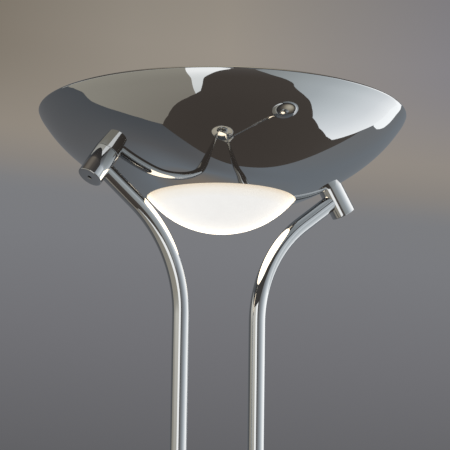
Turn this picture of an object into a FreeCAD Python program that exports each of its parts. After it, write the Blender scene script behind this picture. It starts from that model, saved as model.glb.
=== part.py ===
import FreeCAD, Part
import math
import os

V = FreeCAD.Vector

# Torchiere floor lamp with a reading light, millimetres, +Z up.
# Origin: centre of the underside of the base, on the floor.
# X runs from the left pole to the right pole, -Y is the front.

# ---- driving dimensions -------------------------------------------------
H_RIM = 1800.0            # floor to the top of the bowl's rim
BOWL_R = 175.0            # bowl outer radius
BOWL_T = 1.2              # spun steel wall
RIM_BEAD = 1.9            # radius of the rolled rim
# outer profile of the bowl, radius and height below the rim top
BOWL_PROFILE = [
    (70.30, -82.20), (79.30, -78.80), (88.30, -75.00), (98.00, -70.25), (109.95, -63.66),
    (121.57, -56.51), (132.80, -48.77), (143.50, -40.33), (153.50, -31.05),
    (162.60, -20.95), (169.60, -11.60), (173.60, -5.30), (175.00, -1.90),
]
GLASS_R = 69.6            # opal dome where it leaves the bowl
GLASS_DROP = 33.3         # depth of the opal dome
GLASS_T = 3.0

POLE_X = 42.2             # half the spacing of the poles
TUBE_R = 8.0              # pole tube, 16 mm
TUBE_T = 1.0
BEND_R = 127.0            # centreline radius of the bend under the bowl
BEND_DEG = 52.5           # how far the tube turns from the vertical
BOSS_AT_R = 124.8         # where the boss axis meets the bowl
BOSS_R = 12.0
BOSS_L = 31.0
BOSS_TUBE_AT = 13.7       # tube axis, from the bowl wall along the boss

BASE_R = 135.0
BASE_H = 18.0
BASE_EDGE = 8.0

BRIDGE_Z0, BRIDGE_Z1 = 850.0, 890.0
BRIDGE_X = 59.0
BRIDGE_Y0, BRIDGE_Y1 = -56.0, 17.0
BRIDGE_T = 2.0
KNOB_X = 20.0
KNOB_Z = 870.0
KNOB_R = 11.0
KNOB_L = 15.0

ARM_X, ARM_Y = 36.0, -40.0        # axis of the arm's swivel
ARM_PIVOT_Z = 909.0
ARM_AZ = (0.1903, -0.9817)        # the way the arm leans, in plan
ARM_ELEV = 59.0
ROD_R = 5.0
ROD_L = 296.0
SEG_R = 6.4
SEG_L = 34.1
SEG_ELEV = [64.0, 68.5, 72.8, 76.7]
HEAD_DIR = (0.620, -0.785)        # from the tilt pin to the middle of the shade
HEAD_UP = 25.0                    # how far the shade is tipped up, degrees
SHADE_R = 62.5
SHADE_OFF = 86.6
SHADE_PIN_UP = 13.0               # tilt pin above the shade's lower edge
RUN = 0.05                        # running clearance, radial
GAP = 0.3

os.makedirs("parts", exist_ok=True)


def save(shape, name):
    shape.exportStep("parts/" + name + ".step")


def cyl(p, d, r, h):
    return Part.makeCylinder(r, h, V(*p), V(*d))


def pipe(p, d, ro, ri, h):
    return cyl(p, d, ro, h).cut(cyl(p, d, ri, h))


def box(x0, x1, y0, y1, z0, z1):
    return Part.makeBox(x1 - x0, y1 - y0, z1 - z0, V(x0, y0, z0))


def lathe(points, at=(0.0, 0.0, 0.0)):
    """Closed outline of (r, z) turned about the vertical through at."""
    pts = [V(at[0] + r, at[1], at[2] + z) for r, z in points]
    wire = Part.makePolygon(pts + [pts[0]])
    return Part.Face(wire).revolve(V(*at), V(0, 0, 1), 360)


def turned(edges, at=(0.0, 0.0, 0.0)):
    wire = Part.Wire(Part.__sortEdges__(edges))
    return Part.Face(wire).revolve(V(*at), V(0, 0, 1), 360)


def line(a, b):
    return Part.makeLine(V(a[0], 0, a[1]), V(b[0], 0, b[1]))


def arc3(a, m, b):
    return Part.Arc(V(a[0], 0, a[1]), V(m[0], 0, m[1]), V(b[0], 0, b[1])).toShape()


def spline(points):
    c = Part.BSplineCurve()
    c.interpolate([V(r, 0, z) for r, z in points])
    return c


def hexagon(p, d, across, h, bore=0.0):
    """Hexagon nut about the axis d from p."""
    r = across / math.sqrt(3.0)
    pts = [V(r * math.cos(math.radians(60 * i)), r * math.sin(math.radians(60 * i)), 0) for i in range(6)]
    s = Part.Face(Part.makePolygon(pts + [pts[0]])).extrude(V(0, 0, h))
    crown = Part.makeCylinder(across * 0.56, h, V(0, 0, 0), V(0, 0, 1))
    s = s.common(crown)
    if bore > 0:
        s = s.cut(Part.makeCylinder(bore, h + 2, V(0, 0, -1), V(0, 0, 1)))
    s.Placement = FreeCAD.Placement(V(*p), FreeCAD.Rotation(V(0, 0, 1), V(*d)))
    return s


def rounded_box(x0, x1, y0, y1, z0, z1, r, top=0.0):
    s = box(x0, x1, y0, y1, z0, z1)
    vertical = [e for e in s.Edges if abs(e.tangentAt(e.FirstParameter).z) > 0.99]
    s = s.makeFillet(r, vertical)
    if top > 0:
        up = [e for e in s.Edges if all(abs(v.Point.z - z1) < 1e-6 for v in e.Vertexes)]
        s = s.makeFillet(top, up)
    return s


def group(shapes):
    return Part.makeCompound(shapes)


# ---- bowl ----------------------------------------------------------------
def bowl_outer(scale=1.0):
    return [(r, H_RIM + z) for r, z in BOWL_PROFILE]


outer = spline(bowl_outer())
N_OFF = 26
u0, u1 = outer.FirstParameter, outer.LastParameter


def offset_points(t, n=N_OFF):
    pts = []
    for i in range(n):
        u = u0 + (u1 - u0) * i / (n - 1)
        p = outer.value(u)
        d = outer.tangent(u)[0]
        if isinstance(d, (tuple, list)):
            d = d[0]
        nx, nz = -d.z, d.x
        L = math.hypot(nx, nz)
        pts.append((p.x + nx / L * t, p.z + nz / L * t))
    return pts


inner_pts = offset_points(BOWL_T)
inner = spline(inner_pts)
p_in0, p_in1 = inner_pts[0], inner_pts[-1]
p_out0 = (BOWL_PROFILE[0][0], H_RIM + BOWL_PROFILE[0][1])
p_out1 = (BOWL_PROFILE[-1][0], H_RIM + BOWL_PROFILE[-1][1])
bowl = turned([outer.toShape(), line(p_out1, p_in1), inner.toShape(), line(p_in0, p_out0)])
bead = Part.makeTorus(BOWL_R - RIM_BEAD, RIM_BEAD, V(0, 0, H_RIM - RIM_BEAD), V(0, 0, 1))
bowl = bowl.fuse(bead).removeSplitter()


def on_bowl(r, t=0.0):
    """Height and slope of the bowl's wall at radius r; t is the offset inwards."""
    best = None
    for i in range(801):
        u = u0 + (u1 - u0) * i / 800
        p = outer.value(u)
        d = outer.tangent(u)[0]
        if isinstance(d, (tuple, list)):
            d = d[0]
        L = math.hypot(d.x, d.z)
        q = (p.x - d.z / L * t, p.z + d.x / L * t)
        if best is None or abs(q[0] - r) < best[0]:
            best = (abs(q[0] - r), q[1], math.atan2(d.z, d.x))
    return best[1], best[2]


# a solid that fills the bowl out to its outer face, to shape what touches it
fill_out = turned([outer.toShape(), line(p_out1, (0, p_out1[1])), line((0, p_out1[1]), (0, p_out0[1])), line((0, p_out0[1]), p_out0)])
fill_in = turned([inner.toShape(), line(p_in1, (0, p_in1[1])), line((0, p_in1[1]), (0, p_in0[1])), line((0, p_in0[1]), p_in0)])

# ---- bosses, bent tubes --------------------------------------------------
boss_z, boss_slope = on_bowl(BOSS_AT_R)
LEFT, RIGHT = -1, 1


def boss_frame(side):
    P = V(side * BOSS_AT_R, 0, boss_z)
    n = V(side * math.sin(boss_slope), 0, -math.cos(boss_slope))
    return P, n


def tube_frame(side):
    """Points where the tube meets the boss axis, leaves the straight, and ends its bend."""
    P, n = boss_frame(side)
    A = P + n * BOSS_TUBE_AT
    ph = math.radians(BEND_DEG)
    u = V(-side * math.sin(ph), 0, -math.cos(ph))
    run = abs(A.x) - POLE_X - BEND_R * (1 - math.cos(ph))
    B = A + u * (run / math.sin(ph))
    C = V(side * POLE_X, 0, B.z - BEND_R * math.sin(ph))
    return A, u, B, C


def bent(side, ro, z0, top_cut, ri=0.0):
    """Straight, bend and upper straight of one pole as one body."""
    A, u, B, C = tube_frame(side)
    centre = V(C.x + side * BEND_R, 0, C.z)

    def one(r):
        low = Part.makeCylinder(r, C.z - z0, V(C.x, 0, z0), V(0, 0, 1))
        ring = Part.Face(Part.Wire(Part.makeCircle(r, C, V(0, 0, 1))))
        bend = ring.revolve(centre, V(0, side, 0), BEND_DEG)
        up = Part.makeCylinder(r, (A - B).Length - top_cut, B, V(-u.x, -u.y, -u.z))
        return low.fuse([bend, up])

    s = one(ro)
    if ri > 0:
        s = s.cut(one(ri))
    return s.removeSplitter()


TUBE_IN = 4.5     # the tube stops this far short of the boss axis
for side, word in ((LEFT, "left"), (RIGHT, "right")):
    P, n = boss_frame(side)
    A, u, B, C = tube_frame(side)
    nn = V(-n.x, -n.y, -n.z)
    body = Part.makeCylinder(BOSS_R, BOSS_L + 3.0, P - n * 3.0, n)
    edge = [e for e in body.Edges if len(e.Vertexes) == 1 and abs((e.CenterOfMass - (P + n * BOSS_L)).Length) < 0.1]
    body = body.makeChamfer(0.6, edge)
    body = body.cut(fill_out)
    # socket for the tube, a room for the lead, and the way into the bowl
    body = body.cut(Part.makeCylinder(TUBE_R + 0.02, 40.0, A + u * TUBE_IN, u))
    body = body.cut(Part.makeSphere(6.0, A + u * 1.0))
    body = body.cut(Part.makeCylinder(3.6, BOSS_TUBE_AT + 3, P - n * 3.0, n))
    body = body.cut(Part.makeCylinder(5.02, 5.6 + 3.0, P - n * 3.0, n))
    # small threaded hole in the outer end
    body = body.cut(Part.makeCylinder(2.02, 12.0, P + n * (BOSS_L + 0.5), nn))
    save(body, "boss_" + word)
    tube = bent(side, TUBE_R, BRIDGE_Z1, TUBE_IN, TUBE_R - TUBE_T)
    save(tube, "upper_pole_" + word)

grubs, nipples, nuts = [], [], []
for side in (LEFT, RIGHT):
    P, n = boss_frame(side)
    nn = V(-n.x, -n.y, -n.z)
    g = Part.makeCylinder(2.0, 8.2, P + n * (BOSS_L - 0.6), nn)
    hexs = hexagon(tuple(P + n * (BOSS_L - 3.0)), tuple(n), 2.0, 3.0)
    grubs.append(g.cut(hexs))
    tube = Part.makeCylinder(5.0, 5.4 + 10.5, P - n * 10.5, n).cut(Part.makeCylinder(3.5, 30.0, P - n * 12.0, n))
    nipples.append(tube)
    flange = Part.makeCylinder(9.5, 1.6, P - n * 3.6, n).cut(Part.makeCylinder(5.02, 6.0, P - n * 5.0, n))
    nuts.append(hexagon(tuple(P - n * 7.6), tuple(n), 14.0, 4.2, 5.02).fuse(flange).removeSplitter())
save(group(grubs), "boss_grub_screws")
save(group(nipples), "bowl_nipples")
save(group(nuts), "bowl_nuts")
for side in (LEFT, RIGHT):
    P, n = boss_frame(side)
    bowl = bowl.cut(Part.makeCylinder(5.1, 20.0, P - n * 10.0, n))

# ---- opal glass and what holds it -----------------------------------------
gz = H_RIM + BOWL_PROFILE[0][1] + 0.3
Rg = (GLASS_R ** 2 + GLASS_DROP ** 2) / (2 * GLASS_DROP)
gc = gz - GLASS_DROP + Rg


def cap_point(R, r):
    return gc - math.sqrt(R * R - r * r)


flange_z = on_bowl(77.5, BOWL_T)[0] + 0.35
ri_g = GLASS_R - GLASS_T
glass = turned([
    arc3((0, gc - Rg), (GLASS_R * 0.55, cap_point(Rg, GLASS_R * 0.55)), (GLASS_R, cap_point(Rg, GLASS_R))),
    line((GLASS_R, cap_point(Rg, GLASS_R)), (GLASS_R, flange_z)),
    line((GLASS_R, flange_z), (77.0, flange_z)),
    line((77.0, flange_z), (77.0, flange_z + 3.0)),
    line((77.0, flange_z + 3.0), (ri_g, flange_z + 3.0)),
    line((ri_g, flange_z + 3.0), (ri_g, cap_point(Rg - GLASS_T, ri_g))),
    arc3((ri_g, cap_point(Rg - GLASS_T, ri_g)), (ri_g * 0.55, cap_point(Rg - GLASS_T, ri_g * 0.55)), (0, gc - Rg + GLASS_T)),
    line((0, gc - Rg + GLASS_T), (0, gc - Rg)),
])
save(glass, "opal_glass")
clips, clip_screws = [], []
wall_z = on_bowl(86.0, BOWL_T)[0]
clip_z = on_bowl(91.5, BOWL_T)[0] + 0.4
for k in range(3):
    a = math.radians(120 * k)
    rot = FreeCAD.Placement(V(0, 0, 0), FreeCAD.Rotation(V(0, 0, 1), math.degrees(a)))
    clip = box(72.0, 91.0, -5.0, 5.0, clip_z, clip_z + 1.2)
    clip = clip.fuse(box(72.0, 73.2, -5.0, 5.0, flange_z + 3.1, clip_z + 0.6))
    seat = cyl((86.0, 0, wall_z - 6.0), (0, 0, 1), 3.6, clip_z - wall_z + 6.0).common(fill_in)
    clip = clip.fuse(seat).removeSplitter().cut(cyl((86.0, 0, wall_z - 10), (0, 0, 1), 1.6, 40.0))
    clip.Placement = rot
    clips.append(clip)
    scr = cyl((86.0, 0, clip_z + 1.2), (0, 0, 1), 3.0, 1.8).fuse(cyl((86.0, 0, wall_z + 1.5), (0, 0, 1), 1.55, clip_z - wall_z))
    scr = scr.cut(box(82.5, 89.5, -0.4, 0.4, clip_z + 2.1, clip_z + 3.4))
    scr.Placement = rot
    clip_screws.append(scr)
save(group(clips), "glass_clips")
save(group(clip_screws), "glass_clip_screws")

# ---- lamp bracket, holders and tubular lamp --------------------------------
BR_Z = H_RIM - 58.0
bracket = rounded_box(-24.0, 24.0, -104.0, 104.0, BR_Z, BR_Z + 1.5, 6.0)
bracket = bracket.cut(box(-16.0, 16.0, -52.0, 52.0, BR_Z - 1, BR_Z + 3))
spacers, br_screws = [], []
for s in (-1, 1):
    y = s * 92.0
    post = cyl((0, y, BR_Z - 30), (0, 0, 1), 5.0, 30.0).common(fill_in).cut(cyl((0, y, BR_Z - 6.2), (0, 0, 1), 2.02, 8.0))
    spacers.append(post)
    bracket = bracket.cut(cyl((0, y, BR_Z - 1), (0, 0, 1), 2.1, 4.0))
    scr = cyl((0, y, BR_Z + 1.5), (0, 0, 1), 4.0, 2.4).fuse(cyl((0, y, BR_Z - 6.0), (0, 0, 1), 2.0, 7.6))
    scr = scr.cut(box(-3.2, 3.2, y - 0.5, y + 0.5, BR_Z + 3.0, BR_Z + 5.0))
    br_screws.append(scr)
save(bracket, "lamp_bracket")
save(group(spacers), "bracket_spacers")
save(group(br_screws), "bracket_screws")
LAMP_Z = BR_Z + 13.0
for s, word in ((-1, "front"), (1, "back")):
    h = rounded_box(-9.0, 9.0, min(s * 57.5, s * 76.0), max(s * 57.5, s * 76.0), BR_Z + 1.5, BR_Z + 23.0, 2.5, 1.5)
    h = h.cut(cyl((0, s * 55.0, LAMP_Z), (0, s, 0), 4.1, 10.0)).cut(cyl((0, s * 60.0, LAMP_Z), (0, s, 0), 1.6, 9.0))
    save(h, "lampholder_" + word)
lamp = cyl((0, -50.5, LAMP_Z), (0, 1, 0), 5.2, 101.0)
for s in (-1, 1):
    lamp = lamp.fuse(cyl((0, s * 50.0, LAMP_Z), (0, s, 0), 3.9, 14.0)).fuse(cyl((0, s * 62.0, LAMP_Z), (0, s, 0), 1.4, 5.0))
save(lamp.removeSplitter(), "linear_lamp")
save(bowl, "bowl_shell")

# ---- base -------------------------------------------------------------------
ro, e = BASE_R, BASE_EDGE


def base_profile(off):
    r, z = ro - off, BASE_H - off
    q = e - off
    c = (r - q, z - 1.2 - q)
    s45 = math.sqrt(0.5)
    return r, z, q, c, s45


def base_shell(off, zlow):
    r, z, q, c, s45 = base_profile(off)
    return [line((r, zlow), (r, c[1])), arc3((r, c[1]), (c[0] + q * s45, c[1] + q * s45), (c[0], c[1] + q)),
            arc3((c[0], c[1] + q), ((c[0] + 70.0) / 2, z - 0.42), (70.0, z)), line((70.0, z), (0, z))]


cover = turned(base_shell(0.0, 1.2) + [line((0, BASE_H), (0, 1.2)), line((0, 1.2), (ro, 1.2))])
hollow = turned(base_shell(1.2, 0.0) + [line((0, BASE_H - 1.2), (0, 0)), line((0, 0), (ro - 1.2, 0))])
cover = cover.cut(hollow)
weight = lathe([(0, 3.0), (ro - 3.0, 3.0), (ro - 3.0, 8.0), (ro - 9.0, 14.2), (0, 14.2)])
pad = lathe([(0, 0), (ro - 4.5, 0), (ro - 4.0, 0.6), (ro - 4.0, 3.0), (0, 3.0)])
for s in (LEFT, RIGHT):
    x = s * POLE_X
    cover = cover.cut(cyl((x, 0, 0), (0, 0, 1), 5.1, 40.0))
    weight = weight.cut(cyl((x, 0, 0), (0, 0, 1), 5.1, 40.0)).cut(cyl((x, 0, 3.0), (0, 0, 1), 10.0, 8.8))
# channel for the lead, and the inlet at the back edge
LEAD_Z = 5.45
LEAD_R = 2.3
weight = weight.cut(box(-POLE_X - 4.0, -POLE_X + 4.0, 0.0, ro, 3.0, 8.2))
BUSH_X = -POLE_X
edge_y = math.sqrt(ro * ro - BUSH_X * BUSH_X)
bush_c = (BUSH_X, edge_y - 6.0, LEAD_Z)
cover = cover.cut(cyl((BUSH_X, edge_y - 16.0, LEAD_Z), (0, 1, 0), 3.9, 30.0))
weight = weight.cut(box(-POLE_X - 6.5, -POLE_X + 6.5, edge_y - 10.0, ro, 3.0, 12.0))
bush = cyl((BUSH_X, edge_y - 5.5, LEAD_Z), (0, 1, 0), 3.8, 7.6)
bush = bush.fuse(cyl((BUSH_X, edge_y + 1.5, LEAD_Z), (0, 1, 0), 4.1, 1.6))
bush = bush.fuse(box(BUSH_X - 5.0, BUSH_X + 5.0, edge_y - 5.6, edge_y - 4.1, 1.7, 9.6))
bush = bush.cut(cyl((BUSH_X, edge_y - 20.0, LEAD_Z), (0, 1, 0), 2.4, 60.0)).removeSplitter()
pad = pad.cut(box(BUSH_X - 6.5, BUSH_X + 6.5, edge_y - 8.0, ro, -1.0, 4.0))
save(cover, "base_cover")
save(weight, "base_weight")
save(pad, "base_pad")
save(bush, "inlet_bush")

foot_nipples, foot_nuts, foot_collars, inserts = [], [], [], []
for s in (LEFT, RIGHT):
    x = s * POLE_X
    foot_nipples.append(pipe((x, 0, 7.9), (0, 0, 1), 5.0, 3.5, 26.0))
    foot_nuts.append(hexagon((x, 0, 8.0), (0, 0, 1), 14.0, 3.8, 5.02))
    collar = lathe([(TUBE_R + 0.05, 0.0), (13.5, 0.0), (13.5, 2.2), (12.2, 3.6), (10.6, 4.4), (9.8, 7.0), (9.2, 8.4), (TUBE_R + 0.05, 8.8)], (x, 0, BASE_H))
    foot_collars.append(collar)
    for z in (BASE_H + 0.2, BRIDGE_Z0 - 16.2, BRIDGE_Z1 + 0.2):
        inserts.append(pipe((x, 0, z), (0, 0, 1), 6.96, 5.03, 16.0))
save(group(foot_nipples), "foot_nipples")
save(group(foot_nuts), "foot_nuts")
save(group(foot_collars), "foot_collars")
save(group(inserts), "pole_inserts")
for s, word in ((LEFT, "left"), (RIGHT, "right")):
    save(pipe((s * POLE_X, 0, BASE_H), (0, 0, 1), TUBE_R, TUBE_R - TUBE_T, BRIDGE_Z0 - BASE_H), "lower_pole_" + word)

# ---- bridge: the housing between the poles ---------------------------------
t = BRIDGE_T
housing = rounded_box(-BRIDGE_X, BRIDGE_X, BRIDGE_Y0, BRIDGE_Y1, BRIDGE_Z0, BRIDGE_Z1, 15.0, 4.0)
cavity = rounded_box(-BRIDGE_X + t, BRIDGE_X - t, BRIDGE_Y0 + t, BRIDGE_Y1 - t, BRIDGE_Z0 - 1.0, BRIDGE_Z1 - t, 13.0, 2.0)
housing = housing.cut(cavity)
posts = [(-48.0, -44.0), (48.0, -47.0), (-22.0, 9.5), (22.0, 9.5)]
for x, y in posts:
    housing = housing.fuse(cyl((x, y, BRIDGE_Z0 + 2.2), (0, 0, 1), 3.6, BRIDGE_Z1 - t - BRIDGE_Z0 - 2.2 + 0.2))
    housing = housing.cut(cyl((x, y, BRIDGE_Z0), (0, 0, 1), 1.25, 14.0))
for s in (LEFT, RIGHT):
    housing = housing.cut(cyl((s * POLE_X, 0, BRIDGE_Z0 - 5), (0, 0, 1), 5.1, 60.0))
    housing = housing.cut(cyl((s * KNOB_X, BRIDGE_Y0 - 2, KNOB_Z), (0, 1, 0), 3.6, 6.0))
housing = housing.cut(cyl((ARM_X, ARM_Y, BRIDGE_Z1 - 6), (0, 0, 1), 6.1, 12.0))
save(housing.removeSplitter(), "bridge_housing")
plate = rounded_box(-BRIDGE_X + t + 0.1, BRIDGE_X - t - 0.1, BRIDGE_Y0 + t + 0.1, BRIDGE_Y1 - t - 0.1, BRIDGE_Z0 + 0.2, BRIDGE_Z0 + 2.0, 12.9)
bridge_nipples, bridge_screws = [], []
for s in (LEFT, RIGHT):
    plate = plate.cut(cyl((s * POLE_X, 0, BRIDGE_Z0 - 5), (0, 0, 1), 5.1, 20.0))
    bridge_nipples.append(pipe((s * POLE_X, 0, BRIDGE_Z0 - 15.0), (0, 0, 1), 5.0, 3.5, BRIDGE_Z1 - BRIDGE_Z0 + 30.0))
for x, y in posts:
    plate = plate.cut(cyl((x, y, BRIDGE_Z0 - 2), (0, 0, 1), 1.7, 10.0))
    head = cyl((x, y, BRIDGE_Z0 - 1.6), (0, 0, 1), 2.8, 1.7).fuse(cyl((x, y, BRIDGE_Z0), (0, 0, 1), 1.2, 10.0))
    head = head.cut(box(x - 2.0, x + 2.0, y - 0.35, y + 0.35, BRIDGE_Z0 - 2.0, BRIDGE_Z0 - 0.9))
    head = head.cut(box(x - 0.35, x + 0.35, y - 2.0, y + 2.0, BRIDGE_Z0 - 2.0, BRIDGE_Z0 - 0.9))
    bridge_screws.append(head)
save(plate, "bridge_plate")
save(group(bridge_screws), "bridge_screws")
save(group(bridge_nipples), "bridge_nipples")
tb = rounded_box(-17.0, 17.0, -18.0, -6.0, BRIDGE_Z0 + 2.1, BRIDGE_Z0 + 15.0, 1.2)
for x in (-11.5, 0.0, 11.5):
    tb = tb.cut(cyl((x, -12.0, BRIDGE_Z0 + 9.0), (0, 0, 1), 2.0, 10.0)).cut(cyl((x, -20.0, BRIDGE_Z0 + 6.5), (0, 1, 0), 1.7, 16.0))
save(tb, "terminal_block")

# ---- dimmers and their knobs -------------------------------------------------
dimmer_nuts = []
for s, word in ((LEFT, "uplight"), (RIGHT, "reading")):
    x = s * KNOB_X
    yi = BRIDGE_Y0 + t
    can = cyl((x, yi + 1.0, KNOB_Z), (0, 1, 0), 8.2, 9.0)
    bushing = cyl((x, BRIDGE_Y0 - 3.2, KNOB_Z), (0, 1, 0), 3.5, 3.2 + t + 1.2)
    board = box(x - 7.5, x + 7.5, yi + 10.0, yi + 11.6, KNOB_Z - 9.5, KNOB_Z + 9.5)
    dim = can.fuse([bushing, board]).removeSplitter()
    dim = dim.cut(cyl((x, BRIDGE_Y0 - 10.0, KNOB_Z), (0, 1, 0), 3.0 + RUN, 10.0 + t + 6.0))
    save(dim, "dimmer_" + word)
    dimmer_nuts.append(hexagon((x, BRIDGE_Y0 - 0.02, KNOB_Z), (0, -1, 0), 10.0, 2.0, 3.55))
    yk = BRIDGE_Y0 - 0.9
    knob = cyl((x, yk, KNOB_Z), (0, -1, 0), KNOB_R, KNOB_L)
    front = [ed for ed in knob.Edges if len(ed.Vertexes) == 1 and abs(ed.CenterOfMass.y - (yk - KNOB_L)) < 0.01]
    knob = knob.makeFillet(1.6, front)
    knob = knob.cut(cyl((x, yk + 0.1, KNOB_Z), (0, -1, 0), 7.0, 5.1))
    for k in range(24):
        a = math.radians(15 * k)
        knob = knob.cut(cyl((x + 11.35 * math.cos(a), yk - 1.5, KNOB_Z + 11.35 * math.sin(a)), (0, -1, 0), 0.85, KNOB_L - 4.0))
    # pointer groove on the front face
    knob = knob.cut(box(x - 0.5, x + 0.5, yk - KNOB_L - 0.5, yk - KNOB_L + 0.6, KNOB_Z + 3.0, KNOB_Z + 9.0))
    knob = knob.cut(cyl((x, yk + 1.0, KNOB_Z), (0, -1, 0), 3.0, 12.0))
    save(knob, "knob_" + word)
    spindle = cyl((x, yi + 5.6, KNOB_Z), (0, -1, 0), 2.99, 5.6 + t + 0.9 + 10.0)
    save(spindle, "spindle_" + word)
save(group(dimmer_nuts), "dimmer_nuts")

# ---- reading arm ---------------------------------------------------------------
ca = math.hypot(*ARM_AZ)
ax, ay = ARM_AZ[0] / ca, ARM_AZ[1] / ca


def lean(deg):
    c, s = math.cos(math.radians(deg)), math.sin(math.radians(deg))
    return V(ax * c, ay * c, s)


S0 = V(ARM_X, ARM_Y, ARM_PIVOT_Z)
post = lathe([(4.0 + RUN, 0), (12.0, 0), (12.0, 1.6), (11.0, 2.8), (8.6, 3.4), (8.0, 4.4), (8.0, 10.2), (7.4, 10.8), (4.0 + RUN, 10.8)], (ARM_X, ARM_Y, BRIDGE_Z1))
post = post.fuse(pipe((ARM_X, ARM_Y, BRIDGE_Z1 - 12.0), (0, 0, 1), 6.0, 4.0 + RUN, 12.2)).removeSplitter()
save(post, "arm_post")
save(hexagon((ARM_X, ARM_Y, BRIDGE_Z1 - t - 4.0), (0, 0, 1), 16.0, 3.9, 6.04), "arm_post_nut")
d0 = lean(ARM_ELEV)
pin_low = BRIDGE_Z1 - 15.2
kn = Part.makeSphere(9.0, S0)
kn = kn.fuse(cyl((ARM_X, ARM_Y, BRIDGE_Z1 + 10.8 + GAP), (0, 0, 1), 7.4, 3.0))
kn = kn.fuse(cyl((ARM_X, ARM_Y, pin_low), (0, 0, 1), 4.0, ARM_PIVOT_Z - pin_low))
kn = kn.fuse(Part.makeCylinder(7.0, 16.0, S0, d0))
kn = kn.cut(Part.makeCylinder(ROD_R + 0.02, 20.0, S0 + d0 * 6.0, d0))
kn = kn.cut(cyl((ARM_X, ARM_Y, pin_low - 1), (0, 0, 1), 2.0, ARM_PIVOT_Z - pin_low + 1)).cut(Part.makeCylinder(2.4, 20.0, S0, d0))
ringcut = pipe((ARM_X, ARM_Y, pin_low + 1.2), (0, 0, 1), 5.0, 3.4, 1.2)
kn = kn.cut(ringcut).removeSplitter()
save(kn, "arm_knuckle")
clip = pipe((ARM_X, ARM_Y, pin_low + 1.3), (0, 0, 1), 6.2, 3.42, 1.0).cut(box(ARM_X - 1.5, ARM_X + 1.5, ARM_Y - 8, ARM_Y, pin_low, pin_low + 4))
save(clip, "arm_circlip")
rod = Part.makeCylinder(ROD_R, ROD_L - 6.2, S0 + d0 * 6.2, d0).cut(Part.makeCylinder(ROD_R - 1.0, ROD_L, S0 + d0 * 5.0, d0))
save(rod, "arm_rod")
# ferrule: carries the first joint of the flexible part at its upper end
J = [S0 + d0 * (ROD_L + 10.0)]
BALL, CUP = 4.4, 4.7
fer = Part.makeCylinder(7.4, 24.0, S0 + d0 * (ROD_L - 14.0), d0)
ends = [ed for ed in fer.Edges if len(ed.Vertexes) == 1]
fer = fer.makeFillet(1.0, ends)
fer = fer.cut(Part.makeCylinder(ROD_R + 0.02, 14.1, S0 + d0 * (ROD_L - 14.1), d0))
fer = fer.cut(Part.makeCylinder(2.4, 30.0, S0 + d0 * (ROD_L - 8.0), d0)).cut(Part.makeSphere(CUP, J[0]))


TRUN = 1.0        # trunnions of the flexible part
LA = V(-ay, ax, 0)


def trunnions(c, outer):
    """Two stub pins that stand in from a cup's wall to the ball inside it."""
    return [Part.makeCylinder(TRUN, outer - 2.2, c + LA * (s * 2.2), LA * s) for s in (-1, 1)]


fer = fer.fuse(trunnions(J[0], 7.0)).removeSplitter()
save(fer, "arm_ferrule")

for i, el in enumerate(SEG_ELEV):
    d = lean(el)
    p = J[-1]
    end = p + d * SEG_L
    seg = Part.makeCylinder(SEG_R, SEG_L - 3.6, p + d * 3.6, d)
    rims = [ed for ed in seg.Edges if len(ed.Vertexes) == 1]
    seg = seg.makeChamfer(0.5, rims)
    neck = Part.makeCylinder(3.2, 4.2, p, d)
    seg = seg.fuse(neck).fuse(Part.makeSphere(BALL, p))
    seg = seg.cut(Part.makeSphere(CUP, end)).cut(Part.makeCylinder(1.8, SEG_L + 10.0, p - d * 6.0, d))
    seg = seg.cut(Part.makeCylinder(TRUN + RUN, 12.0, p - LA * 6.0, LA))
    if i < 3:
        seg = seg.fuse(trunnions(end, 6.0))
    save(seg.removeSplitter(), "flex_segment_%d" % (i + 1))
    J.append(end)

# ---- reading head ----------------------------------------------------------------
hc = math.hypot(*HEAD_DIR)
hx = V(HEAD_DIR[0] / hc, HEAD_DIR[1] / hc, 0)
hy = V(-hx.y, hx.x, 0)
E = J[-1]
dE = V(0, 0, 1)
PIN = E + dE * 17.0


def local(shape, up=0.0):
    """Place a shape drawn with X towards the shade, Y along the tilt pin."""
    ang = math.degrees(math.atan2(hx.y, hx.x))
    turn = FreeCAD.Rotation(V(0, 0, 1), ang).multiply(FreeCAD.Rotation(V(0, 1, 0), -up))
    shape.Placement = FreeCAD.Placement(PIN, turn).multiply(shape.Placement)
    return shape


sw = cyl((0, 0, -13.4), (0, 0, 1), 6.4, 7.0)
sw = sw.fuse(cyl((0, 0, -17.0), (0, 0, 1), 3.2, 4.2)).fuse(Part.makeSphere(BALL, V(0, 0, -17.0)))
for s in (-1, 1):
    y0, y1 = (3.3, 6.2) if s > 0 else (-6.2, -3.3)
    ear = cyl((0, y0, 0), (0, 1, 0), 6.0, y1 - y0).fuse(box(-6.0, 6.0, y0, y1, -9.4, 0))
    sw = sw.fuse(ear.cut(cyl((0, -10, 0), (0, 1, 0), 2.02, 20.0)))
sw = sw.cut(box(-8.0, 8.0, -3.3, 3.3, -8.6, 8.0))
save(local(sw.removeSplitter()), "head_yoke")
pin = cyl((0, -6.9, 0), (0, 1, 0), 2.0, 13.8).fuse(cyl((0, -7.9, 0), (0, 1, 0), 3.4, 1.4)).fuse(cyl((0, 6.5, 0), (0, 1, 0), 3.4, 1.4))
pin = pin.cut(box(-2.4, 2.4, -8.2, -7.4, -0.4, 0.4)).removeSplitter()
save(local(pin), "head_pin")

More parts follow.
